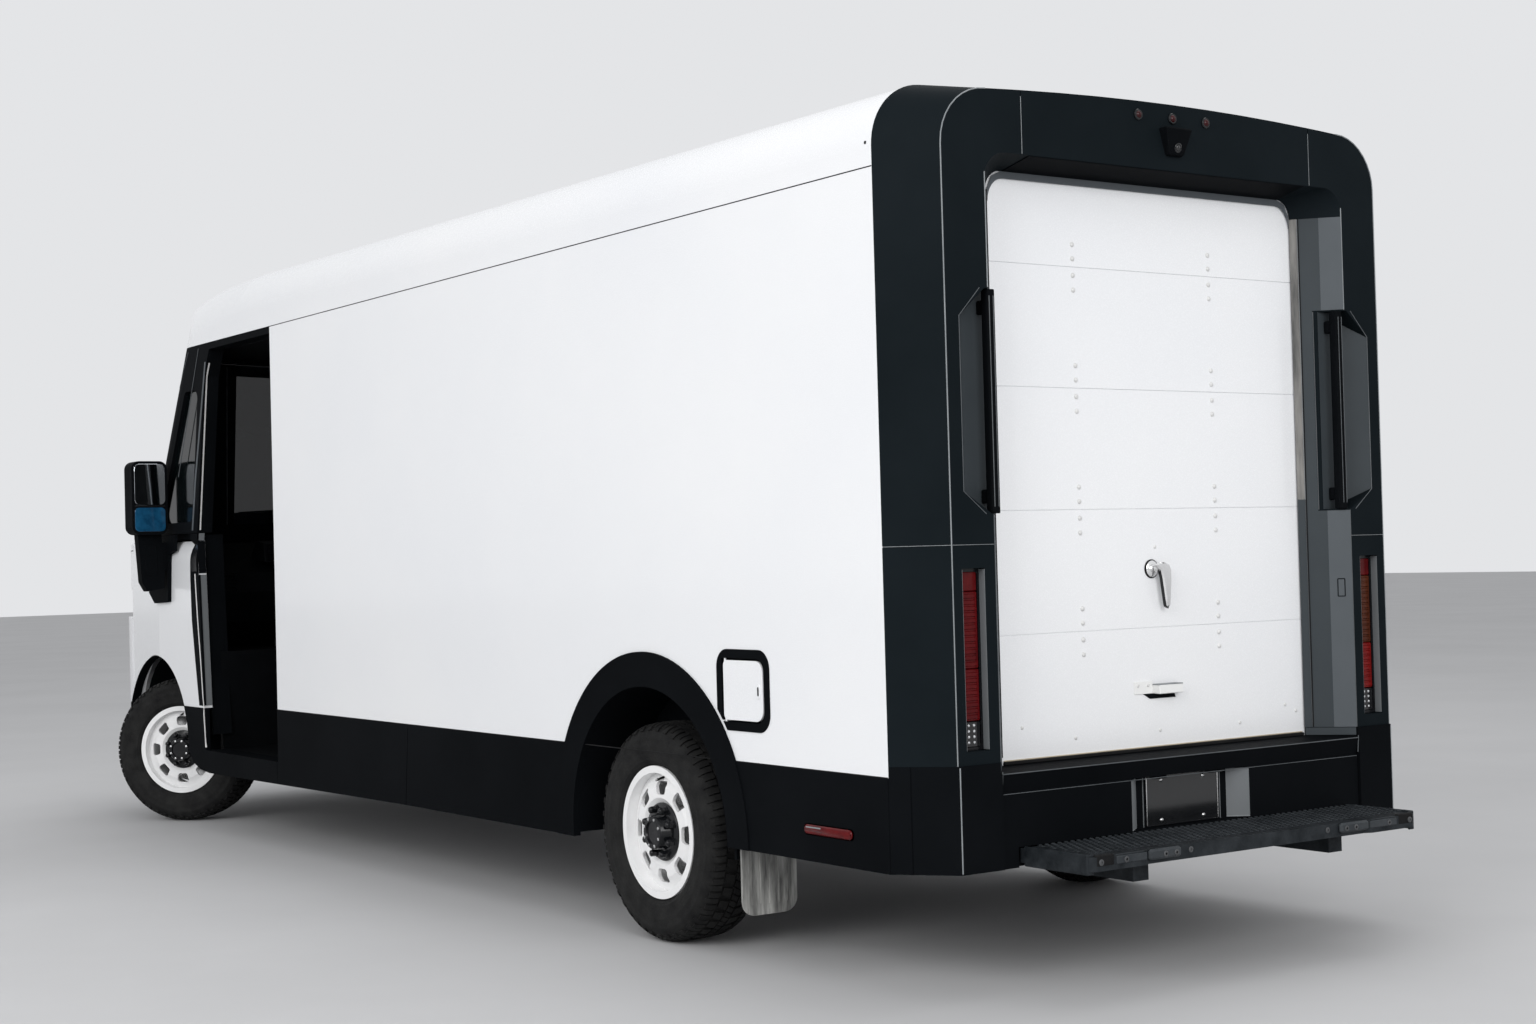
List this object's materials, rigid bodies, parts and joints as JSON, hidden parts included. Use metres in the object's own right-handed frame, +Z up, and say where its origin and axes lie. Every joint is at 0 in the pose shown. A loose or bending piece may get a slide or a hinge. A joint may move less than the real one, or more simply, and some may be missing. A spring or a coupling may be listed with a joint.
{
  "type": "electric cargo van",
  "caption": "Walk-in battery van with a tall box body, sliding pocket cab doors, a roll-up tail door, a rear step and steered front wheels.",
  "frame": {"origin": "on the ground, at the middle of the length and width", "axes": "+X forward, +Y to the van's left, +Z up"},
  "size_m": [7.38, 2.484, 2.686],
  "materials": {
    "white_paint": "gloss paint",
    "wheel_paint": "gloss paint",
    "frame_steel": "satin black coat",
    "dark_trim": "grained",
    "tyre_rubber": "matte",
    "flap_rubber": "matte",
    "window_glass": "clear tinted",
    "red_lens": "gloss",
    "clear_lens": "gloss",
    "floor_metal": "ribbed",
    "inner_panel": "smooth",
    "cab_plastic": "grained",
    "seat_cloth": "woven",
    "plate_metal": "blank",
    "cast_metal": "cast"
  },
  "bodies": {
    "body": {"chassis_frame": "frame_steel", "battery_pack": "floor_metal", "rear_axle": "frame_steel", "front_axle": "frame_steel", "floor": "floor_metal", "bulkhead": "inner_panel", "side_wall_left": "white_paint", "side_wall_right": "white_paint", "skirt_left": "dark_trim", "skirt_right": "dark_trim", "rear_liners": "dark_trim", "front_liners": "dark_trim", "mud_flaps": "flap_rubber", "roof_panel": "white_paint", "front_roof_cap": "white_paint", "rear_frame": "dark_trim", "rear_bumper": "dark_trim", "rear_door": "white_paint", "rear_step": "dark_trim", "tail_lamps": "red_lens", "grab_handles": "dark_trim", "roof_lamps": "red_lens", "number_plate": "plate_metal", "side_markers": "red_lens", "charge_bezel": "dark_trim", "charge_socket": "cab_plastic", "front_fenders": "white_paint", "cowl": "dark_trim", "headlamps": "clear_lens", "front_face": "dark_trim", "front_bumper": "white_paint", "front_valance": "dark_trim", "windscreen_frame": "dark_trim", "quarter_glass": "window_glass", "cab_floor": "cab_plastic", "windscreen": "window_glass", "dashboard": "cab_plastic", "seat_base": "frame_steel", "seat_cushion": "seat_cloth", "seat_back": "seat_cloth", "mirrors": "dark_trim"},
    "knuckle_left": {"knuckle_left": "cast_metal"},
    "knuckle_right": {"knuckle_right": "cast_metal"},
    "steering_wheel": {"steering_wheel": "cab_plastic"},
    "door_left": {"door_left": "dark_trim", "door_glass_left": "window_glass"},
    "door_right": {"door_right": "dark_trim", "door_glass_right": "window_glass"},
    "hood": {"hood": "white_paint"},
    "charge_door": {"charge_door": "white_paint"},
    "wheel_front_left": {"tyre_front_left": "tyre_rubber", "rim_front_left": "wheel_paint"},
    "wheel_front_right": {"tyre_front_right": "tyre_rubber", "rim_front_right": "wheel_paint"},
    "wheel_rear_left": {"tyre_rear_left": "tyre_rubber", "rim_rear_left": "wheel_paint"},
    "wheel_rear_right": {"tyre_rear_right": "tyre_rubber", "rim_rear_right": "wheel_paint"}
  },
  "joints": [
    {"name": "spin_rear_left", "type": "hinge", "parent": "body", "child": "wheel_rear_left", "pos_m": [-1.96, 0.9055, 0.362], "axis": [0, 1, 0], "continuous": true},
    {"name": "steer_left", "type": "hinge", "parent": "body", "child": "knuckle_left", "pos_m": [2.79, 0.838, 0.362], "axis": [0, 0, 1], "range_deg": [-84, 0]},
    {"name": "spin_front_left", "type": "hinge", "parent": "knuckle_left", "child": "wheel_front_left", "pos_m": [2.79, 0.838, 0.362], "axis": [-0.6691, 0.7431, 0], "continuous": true},
    {"name": "spin_rear_right", "type": "hinge", "parent": "body", "child": "wheel_rear_right", "pos_m": [-1.96, -0.9055, 0.362], "axis": [0, 1, 0], "continuous": true},
    {"name": "steer_right", "type": "hinge", "parent": "body", "child": "knuckle_right", "pos_m": [2.79, -0.838, 0.362], "axis": [0, 0, 1], "range_deg": [-84, 0]},
    {"name": "spin_front_right", "type": "hinge", "parent": "knuckle_right", "child": "wheel_front_right", "pos_m": [2.79, -0.838, 0.362], "axis": [-0.6691, 0.7431, 0], "continuous": true},
    {"name": "steering_wheel_turn", "type": "hinge", "parent": "body", "child": "steering_wheel", "pos_m": [2.09, 0.42, 1.23], "axis": [-0.9063, 0, 0.4226], "range_deg": [-1176, 0]},
    {"name": "door_left_slide", "type": "slide", "parent": "body", "child": "door_left", "axis": [1, 0, 0], "range_m": [0, 0.97]},
    {"name": "door_right_slide", "type": "slide", "parent": "body", "child": "door_right", "axis": [1, 0, 0], "range_m": [-0.97, 0]},
    {"name": "hood_hinge", "type": "hinge", "parent": "body", "child": "hood", "pos_m": [3.22, 0, 1.434], "axis": [0, -1, 0], "range_deg": [0, 45]},
    {"name": "charge_door_hinge", "type": "hinge", "parent": "body", "child": "charge_door", "pos_m": [-2.442, 1.036, 0.85], "axis": [0, 0, -1], "range_deg": [0, 100]}
  ],
  "couplings": [
    {"joint": "steer_right", "follows": "steer_left", "ratio": 1},
    {"joint": "steering_wheel_turn", "follows": "steer_left", "ratio": 14}
  ]
}
